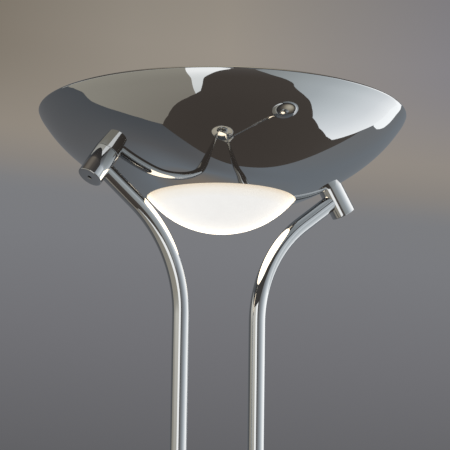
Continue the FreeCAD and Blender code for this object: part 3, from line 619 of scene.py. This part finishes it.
def arc(r, z, t0, t1, n):
    """Points of a circle of radius r about (0, z); angles are elevations in degrees."""
    out = []
    for k in range(n + 1):
        t = math.radians(t0 + (t1 - t0) * k / n)
        out.append((abs(r * math.cos(t)), z + r * math.sin(t)))
    if abs(t0) == 90:
        out[0] = (0.0, out[0][1])
    if abs(t1) == 90:
        out[-1] = (0.0, out[-1][1])
    return out


JOINTS = [ROD_FROM + lean(ARM_ELEV) * (ROD_L + 10.0)]
for el in SEG_ELEV:
    JOINTS.append(JOINTS[-1] + lean(el) * SEG_L)


def build_arm():
    d0 = lean(ARM_ELEV)
    m = frame_at(ROD_FROM + d0 * (ROD_L - 14.0), d0, (1, 0, 0))
    prof = [(0.0, 14.1), (5.02, 14.1), (5.02, 0.02), (5.3, 0.0), (6.4, 0.0), (6.78, 0.1), (7.1, 0.32), (7.32, 0.62), (7.4, 1.0)]
    for z in (4.6, 6.4, 17.2, 19.0):
        prof += [(7.4, z - 0.45), (7.3, z - 0.32), (7.1, z), (7.3, z + 0.32), (7.4, z + 0.45)]
    prof += [(7.4, 23.0), (7.32, 23.38), (7.1, 23.68), (6.78, 23.9), (6.4, 24.0), (6.2, 23.98)]
    prof += arc(SOCKET_R, 24.0, -1.5, -90, 16)
    bm = bmesh.new()
    lathe(bm, prof, 96, m, closed=False)
    ob = finish_mesh(bm, "ferrule_turned", [M["arm"]], "arm", sharp=34)
    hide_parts("arm_ferrule")
    for i, el in enumerate(SEG_ELEV):
        m = frame_at(JOINTS[i], lean(el), (1, 0, 0))
        prof = arc(KNUCKLE_R, 0.0, -90, 19, 24)
        prof += [(5.60, 2.22), (5.66, 2.42), (5.76, 2.56)]
        z = 2.75
        for _ in range(15):
            prof += [(6.04, z), (6.22, z + 0.14), (6.33, z + 0.40), (6.39, z + 0.72), (6.40, z + 1.05), (6.39, z + 1.38), (6.33, z + 1.70), (6.22, z + 1.96)]
            z += 2.05
        prof += [(6.04, z), (6.20, z + 0.12), (6.36, z + 0.22), (6.38, SEG_L - 0.18), (6.30, SEG_L - 0.03), (6.2, SEG_L)]
        prof += arc(SOCKET_R, SEG_L, -1.5, -90, 16)
        bm = bmesh.new()
        lathe(bm, prof, 80, m, closed=False)
        ob = finish_mesh(bm, "gooseneck_%d" % (i + 1), [M["flex"]], "flex_%d" % (i + 1), sharp=50)
        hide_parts("flex_segment_%d" % (i + 1))
    # the ball under the fork
    prof = arc(KNUCKLE_R, 0.0, -90, 36, 30)
    prof += [(4.6, 3.55), (0.0, 3.55)]
    bm = bmesh.new()
    lathe(bm, prof, 80, frame_at(JOINTS[4], (0, 0, 1), (1, 0, 0)), closed=False)
    ob = finish_mesh(bm, "fork_ball", [M["arm"]], "head_yoke", sharp=40)


build_arm()

PIN = JOINTS[4] + Vector((0, 0, 17.0))
HEAD_DIR, HEAD_UP = Vector((0.620, -0.785, 0.0)).normalized(), 25.0
SHADE_OFF, SHADE_R, SHADE_PIN_UP = 86.6, 62.5, 13.0
SH = [(0.0, 37.0), (18.0, 35.99), (32.0, 33.75), (42.0, 30.8), (50.0, 25.6), (56.2, 18.0), (60.3, 9.8), (62.2, 2.6), (62.5, 0.0)]


def head_matrix(x=0.0, z=0.0):
    ang = math.atan2(HEAD_DIR.y, HEAD_DIR.x)
    return Matrix.Translation(PIN) @ Matrix.Rotation(ang, 4, "Z") @ Matrix.Rotation(-math.radians(HEAD_UP), 4, "Y") @ Matrix.Translation((x, 0, z))


def build_head():
    both = curve_through([(-32.0, 33.75), (-18.0, 35.99)] + SH, 14)
    outer = [p for p in both if p[0] >= 0.0]
    outer[0] = (0.0, outer[0][1])
    skin = offset(outer, -1.0)
    inner = [p for p in reversed(skin) if p[1] > 1.0 and p[0] > 0.4]
    bead = [(61.6 + 0.9 * math.cos(math.radians(t)), 0.9 * math.sin(math.radians(t))) for t in range(-6, -200, -16)]
    outer = [p for p in outer if p[1] > 0.1]
    prof = outer + bead + inner + [(0.0, SH[0][1] - 1.0)]
    turn_in = len(outer) + len(bead) - 2
    bm = bmesh.new()
    lathe(bm, prof, 240, head_matrix(SHADE_OFF, -SHADE_PIN_UP), closed=False, mat=lambda i: 1 if i >= turn_in else 0)
    ob = finish_mesh(bm, "shade_spun", [M["shade"], M["inside"]], "reading_head", sharp=50)
    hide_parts("reading_shade")


build_head()


def build_index(word):
    """The dark filling of the groove in a knob's face."""
    lo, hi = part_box("knob_" + word)
    x, z, y = (lo[0] + hi[0]) / 2 / MM, (lo[2] + hi[2]) / 2 / MM, lo[1] / MM
    bm = bmesh.new()
    bmesh.ops.create_cube(bm, size=1.0)
    bmesh.ops.scale(bm, vec=(0.94, 0.46, 5.9), verts=bm.verts)
    bmesh.ops.bevel(bm, geom=bm.edges[:], offset=0.12, segments=3, profile=0.5, affect="EDGES")
    bmesh.ops.translate(bm, vec=(x, y + 0.36, z + 6.0), verts=bm.verts)
    ob = finish_mesh(bm, "index_" + word, [M["black"]], "knob_" + word, sharp=50)


build_index("uplight")
build_index("reading")

# ---------------------------------------------------------------- stage

HUB = Vector((0.0, 0.0, 1.74))      # the cards are set out round the bowl
BACK_Y = 0.56                       # a flat that stands behind the lamp


def seen(r, g, b):
    """Linear colour of a display colour."""
    return tuple(c / 255.0 / 12.92 if c < 10.3 else ((c / 255.0 + 0.055) / 1.055) ** 2.4 for c in (r, g, b))


def tone(r, g, b):
    """Emission that the plating shows as the display colour r, g, b."""
    return tuple(c / k for c, k in zip(seen(r, g, b), (0.60, 0.605, 0.61)))


def emission(name, stops, factor):
    """An emission material graded along factor(nodes, links), from 0 to 1."""
    m = bpy.data.materials.new(name)
    m.use_nodes = True
    t = m.node_tree
    t.nodes.clear()
    o = t.nodes.new("ShaderNodeOutputMaterial")
    e = t.nodes.new("ShaderNodeEmission")
    cr = t.nodes.new("ShaderNodeValToRGB")
    top = max(max(c) for _, c in stops)
    while len(cr.color_ramp.elements) < len(stops):
        cr.color_ramp.elements.new(0.5)
    for el, (p, c) in zip(cr.color_ramp.elements, stops):
        el.position, el.color = p, (*(x / top for x in c), 1.0)
    e.inputs[1].default_value = top
    t.links.new(factor(t), cr.inputs[0])
    t.links.new(cr.outputs[0], e.inputs[0])
    t.links.new(e.outputs[0], o.inputs[0])
    return m


def by_grade(t):
    a = t.nodes.new("ShaderNodeAttribute")
    a.attribute_name = "grade"
    return a.outputs["Fac"]


def stage_only(ob):
    """Seen only in reflections: it isn't in view and lights nothing by itself."""
    ob.visible_camera = False
    ob.visible_diffuse = False
    ob.visible_shadow = False
    ob.visible_transmission = False


def card(name, outline, stops, along="el", centre=HUB, dist=7.0):
    """A reflector card. outline holds (azimuth, elevation) in degrees round centre, azimuth 0 in front, 90 to the right."""
    bm = bmesh.new()
    face = bm.faces.new([bm.verts.new((a, e, 0)) for a, e in outline])
    bmesh.ops.triangulate(bm, faces=[face])
    for _ in range(5):
        bmesh.ops.subdivide_edges(bm, edges=bm.edges[:], cuts=1, use_grid_fill=True)
    k = 1 if along == "el" else 0
    lo, hi = min(p[k] for p in outline), max(p[k] for p in outline)
    grades = []
    for v in bm.verts:
        grades.append((v.co[k] - lo) / (hi - lo))
        a, e = math.radians(v.co.x), math.radians(v.co.y)
        d = Vector((math.sin(a) * math.cos(e), -math.cos(a) * math.cos(e), math.sin(e)))
        r = dist
        if d.y > 1e-3:
            r = min(r, (BACK_Y - 0.01 - centre[1]) / d.y)
        v.co = Vector(centre) + d * r
    me = bpy.data.meshes.new(name)
    bm.to_mesh(me)
    bm.free()
    me.attributes.new("grade", "FLOAT", "POINT").data.foreach_set("value", grades)
    me.materials.append(emission(name + "_light", stops, by_grade))
    ob = bpy.data.objects.new(name, me)
    scene.collection.objects.link(ob)
    stage_only(ob)
    return ob


def build_stage():
    # pale floor
    bm = bmesh.new()
    bmesh.ops.create_grid(bm, x_segments=8, y_segments=8, size=14.0)
    me = bpy.data.meshes.new("floor")
    bm.to_mesh(me)
    bm.free()
    a = Mat("pale_floor").set(Roughness=0.7)
    a.link(a.ramp(a.noise(1.3, 3.0), [(0.3, (0.60, 0.595, 0.58)), (0.7, (0.64, 0.635, 0.62))]), "Base Color")
    me.materials.append(a.m)
    floor = bpy.data.objects.new("floor", me)
    floor.location.z = -0.0004
    scene.collection.objects.link(floor)
    floor.visible_glossy = False

    # a shell round everything: dark and warm below, brighter towards the top
    def height(t):
        tc = t.nodes.new("ShaderNodeTexCoord")
        nm = t.nodes.new("ShaderNodeVectorMath")
        nm.operation = "NORMALIZE"
        sp = t.nodes.new("ShaderNodeSeparateXYZ")
        mr = t.nodes.new("ShaderNodeMapRange")
        mr.inputs["From Min"].default_value = -1.0
        t.links.new(tc.outputs["Object"], nm.inputs[0])
        t.links.new(nm.outputs[0], sp.inputs[0])
        t.links.new(sp.outputs[2], mr.inputs["Value"])
        return mr.outputs[0]

    bm = bmesh.new()
    bmesh.ops.create_uvsphere(bm, u_segments=96, v_segments=64, radius=9.0)
    me = bpy.data.meshes.new("shell")
    bm.to_mesh(me)
    bm.free()
    me.materials.append(emission("shell_light", SHELL, height))
    ob = bpy.data.objects.new("shell", me)
    ob.location = HUB
    scene.collection.objects.link(ob)
    stage_only(ob)

    # the lit dome as the plating sees it
    bm = bmesh.new()
    lathe(bm, [(r * 1.001, z - 0.12) for r, z in DOME], 96, closed=False)
    bmesh.ops.scale(bm, vec=(MM, MM, MM), verts=bm.verts)
    me = bpy.data.meshes.new("dome_glow")
    bm.to_mesh(me)
    bm.free()
    me.attributes.new("grade", "FLOAT", "POINT")
    me.materials.append(emission("dome_glow_light", [(0.0, (4.0, 3.4, 2.55)), (1.0, (4.0, 3.4, 2.55))], by_grade))
    ob = bpy.data.objects.new("dome_glow", me)
    scene.collection.objects.link(ob)
    stage_only(ob)

    # the flat behind the lamp: cool at the left, a soft warm pool low in the middle
    bm = bmesh.new()
    bmesh.ops.create_grid(bm, x_segments=140, y_segments=60, size=1.0)
    grades = []
    for v in bm.verts:
        x, z = v.co.x * 7.0, 1.05 + v.co.y * 1.3
        v.co = Vector((x, BACK_Y, z))
        side = 0.5 + 0.5 * math.tanh((x - 0.1) / 0.9)
        pool = math.exp(-(((x - 0.20) / 0.42) ** 2 + ((z - 1.00) / 0.45) ** 2))
        grades.append(0.55 * side + 0.45 * pool)
    me = bpy.data.meshes.new("back_flat")
    bm.to_mesh(me)
    bm.free()
    me.attributes.new("grade", "FLOAT", "POINT").data.foreach_set("value", grades)
    me.materials.append(emission("back_flat_light", FLAT, by_grade))
    ob = bpy.data.objects.new("back_flat", me)
    scene.collection.objects.link(ob)
    stage_only(ob)


SHELL = [
    (0.0, tone(60, 55, 51)), (0.12, tone(64, 59, 55)), (0.24, tone(70, 66, 63)), (0.36, tone(84, 80, 76)), (0.46, tone(92, 90, 87)), (0.53, tone(64, 63, 62)),
    (0.62, tone(56, 55, 54)), (0.80, tone(58, 56, 55)), (0.90, tone(76, 72, 68)), (0.95, tone(116, 109, 99)), (0.975, tone(160, 152, 135)), (1.0, tone(206, 198, 180)),
]
FLAT = [(0.0, tone(64, 69, 74)), (0.25, tone(84, 85, 87)), (0.50, tone(99, 105, 111)), (0.62, tone(106, 104, 102)), (0.82, tone(126, 113, 99)), (1.0, tone(142, 124, 104))]
CARDS = [
    # name, outline (azimuth, elevation), stops along it, direction, centre, distance
    ("left_flag", [(-150, 18), (-147, 6), (-141.5, -4), (-139, -13), (-139.5, -22), (-139.3, -31), (-137.4, -41), (-134.8, -50), (-133.6, -58), (-135, -64.3), (-136, -67.7), (-116, -68.5), (-90, -66.5),
                   (-71.5, -65), (-59, -63), (-57, -54), (-54, -13), (-54, 18)],
     [(0.0, tone(120, 116, 108)), (0.40, tone(132, 129, 120)), (0.72, tone(139, 136, 126)), (0.80, tone(148, 147, 140)), (0.88, tone(180, 179, 172)), (1.0, tone(186, 185, 178))], "el", (-0.14, -0.06, 1.77), 7.0),
    ("white_card", [(-55, 18), (-54.7, -13), (-58.6, -54), (-60.6, -63), (-54, -61), (-42, -47.5), (-34, -33.5), (-28, -27), (-25, -20), (-26, -8), (-30, 4), (-34, 18)],
     [(0.0, tone(196, 200, 200)), (0.35, tone(232, 234, 234)), (1.0, tone(238, 240, 240))], "el", (-0.10, -0.14, 1.79), 6.8),
    ("right_box", [(-18, -7), (-18, -16), (-9.6, -28), (-1, -37.5), (5, -41.5), (12, -44.5), (19, -47.3), (25.5, -49), (37, -49.4), (46, -50.3), (57, -52.5), (69, -54), (84, -51),
                   (95, -46), (100, -42), (100.3, -38.5), (100.4, -34), (101, -28), (102.4, -22.5), (104.8, -17), (106.2, -11), (106.5, -3), (104, 2), (60, 2), (0, -2)],
     [(0.0, tone(122, 126, 127)), (0.25, tone(142, 148, 150)), (0.5, tone(160, 167, 171)), (0.68, tone(182, 189, 193)), (0.85, tone(206, 211, 215)), (1.0, tone(236, 239, 241))], "az", (0.06, -0.14, 1.77), 7.0),
    ("right_end", [(101.8, -22), (103.5, -22), (105.6, -20.7), (108, -19), (110, -16.5), (111.6, -13.5), (112, -10), (112, -5), (111.4, 1), (110, 5), (107.5, 6), (105, 1), (103.5, -5), (102.6, -10), (102.4, -16)],
     [(0.0, tone(236, 240, 242)), (1.0, tone(240, 243, 245))], "el", (0.10, -0.136, 1.785), 6.0),
    ("front_band", [(-22, 4), (-13, -8), (0, -2), (60, 2), (104, 2), (104, 34), (50, 34), (34, 18), (-22, 18)],
     [(0.0, tone(92, 93, 94)), (0.14, tone(112, 115, 118)), (0.30, tone(140, 147, 153)), (0.46, tone(176, 183, 188)), (0.62, tone(218, 223, 226)), (0.80, tone(248, 250, 251)), (1.0, tone(244, 246, 248))], "az", (0.0, 0.0, 1.5), 7.2),
]
build_stage()
for name, outline, stops, along, centre, dist in CARDS:
    card(name, outline, stops, along, centre, dist)


def build_world():
    w = bpy.data.worlds.new("soft_studio")
    scene.world = w
    w.use_nodes = True
    t = w.node_tree
    t.nodes.clear()
    out = t.nodes.new("ShaderNodeOutputWorld")
    bg = t.nodes.new("ShaderNodeBackground")
    tc = t.nodes.new("ShaderNodeTexCoord")
    sep = t.nodes.new("ShaderNodeSeparateXYZ")
    t.links.new(tc.outputs["Generated"], sep.inputs[0])
    cr = t.nodes.new("ShaderNodeValToRGB")
    mr = t.nodes.new("ShaderNodeMapRange")
    mr.inputs["From Min"].default_value = -0.2
    mr.inputs["From Max"].default_value = 1.0
    # the line across it drops a little to the right
    side = t.nodes.new("ShaderNodeVectorMath")
    side.operation = "DOT_PRODUCT"
    side.inputs[1].default_value = (0.8476, -0.5307, 0.0)
    t.links.new(tc.outputs["Generated"], side.inputs[0])
    lift = t.nodes.new("ShaderNodeMath")
    lift.operation = "MULTIPLY_ADD"
    lift.inputs[1].default_value = 0.08
    t.links.new(side.outputs["Value"], lift.inputs[0])
    t.links.new(sep.outputs[2], lift.inputs[2])
    t.links.new(lift.outputs[0], mr.inputs["Value"])
    t.links.new(mr.outputs[0], cr.inputs[0])

    stops = [
        (0.0, seen(86, 86, 89)), (0.235, seen(97, 97, 100)), (0.283, seen(113, 113, 117)), (0.32, seen(122, 123, 127)), (0.338, seen(124, 125, 128)), (0.347, seen(137, 132, 127)),
        (0.358, seen(150, 142, 132)), (0.372, seen(152, 144, 134)), (0.395, seen(153, 145, 135)), (0.425, seen(144, 137, 127)), (0.60, seen(170, 164, 152)), (1.0, seen(204, 198, 186)),
    ]
    while len(cr.color_ramp.elements) < len(stops):
        cr.color_ramp.elements.new(0.5)
    for el, (p, c) in zip(cr.color_ramp.elements, stops):
        el.position, el.color = p, (*c, 1)
    # a fall-off to both sides in the upper part: warm on one side, cool on the other
    sm = t.nodes.new("ShaderNodeMapRange")
    sm.inputs["From Min"].default_value = -0.11
    sm.inputs["From Max"].default_value = 0.11
    t.links.new(side.outputs["Value"], sm.inputs["Value"])
    sr = t.nodes.new("ShaderNodeValToRGB")
    falls = [(0.0, (0.67, 0.655, 0.62)), (0.30, (0.92, 0.92, 0.91)), (0.50, (1.0, 1.0, 1.0)), (0.72, (0.86, 0.89, 0.98)), (1.0, (0.73, 0.79, 1.0))]
    while len(sr.color_ramp.elements) < len(falls):
        sr.color_ramp.elements.new(0.5)
    for el, (p, c) in zip(sr.color_ramp.elements, falls):
        el.position, el.color = p, (*c, 1)
    t.links.new(sm.outputs[0], sr.inputs[0])
    up = t.nodes.new("ShaderNodeMapRange")
    up.interpolation_type = "SMOOTHSTEP"
    up.inputs["From Min"].default_value = 0.340
    up.inputs["From Max"].default_value = 0.395
    t.links.new(mr.outputs[0], up.inputs["Value"])
    mx = t.nodes.new("ShaderNodeMix")
    mx.data_type = "RGBA"
    mx.blend_type = "MULTIPLY"
    t.links.new(up.outputs[0], mx.inputs[0])
    t.links.new(cr.outputs[0], mx.inputs[6])
    t.links.new(sr.outputs[0], mx.inputs[7])
    t.links.new(mx.outputs[2], bg.inputs[0])
    bg.inputs[1].default_value = 1.0
    t.links.new(bg.outputs[0], out.inputs[0])


build_world()


def area(name, loc, target, size, power, col=(1, 1, 1)):
    d = bpy.data.lights.new(name, "AREA")
    d.shape = "RECTANGLE"
    d.size, d.size_y = size
    d.energy = power
    d.color = col
    ob = bpy.data.objects.new(name, d)
    ob.location = loc
    ob.rotation_mode = "QUATERNION"
    ob.rotation_quaternion = (Vector(target) - Vector(loc)).to_track_quat("-Z", "Y")
    ob.visible_glossy = False
    ob.visible_camera = False
    scene.collection.objects.link(ob)


area("key", (2.6, -2.0, 2.6), (0, 0, 1.0), (1.6, 1.6), 60, (1.0, 0.98, 0.95))
area("fill", (-2.8, -1.6, 2.0), (0, 0, 0.9), (1.8, 1.8), 40, (0.95, 0.98, 1.0))
area("top", (0.2, 0.6, 3.8), (0, 0, 0.5), (2.0, 2.0), 50)

# ---------------------------------------------------------------- camera


def build_camera():
    a, p, r = math.radians(-32.05), math.radians(11.3), math.radians(0.87)
    F = Vector((-math.sin(a) * math.cos(p), math.cos(a) * math.cos(p), math.sin(p)))
    R = Vector((math.cos(a), math.sin(a), 0.0))
    U = R.cross(F)
    R2 = R * math.cos(r) + U * math.sin(r)
    U2 = U * math.cos(r) - R * math.sin(r)
    m = Matrix((R2, U2, -F)).transposed().to_4x4()
    m.translation = Vector((-1.0614, -1.7028, 1.2915))
    d = bpy.data.cameras.new("camera")
    d.sensor_width = 36.0
    d.lens = 173.17
    d.clip_start, d.clip_end = 0.05, 60.0
    ob = bpy.data.objects.new("camera", d)
    ob.matrix_world = m
    scene.collection.objects.link(ob)
    scene.camera = ob


build_camera()
scene.view_settings.view_transform = "Standard"
scene.view_settings.look = "None"

bpy.context.view_layer.update()
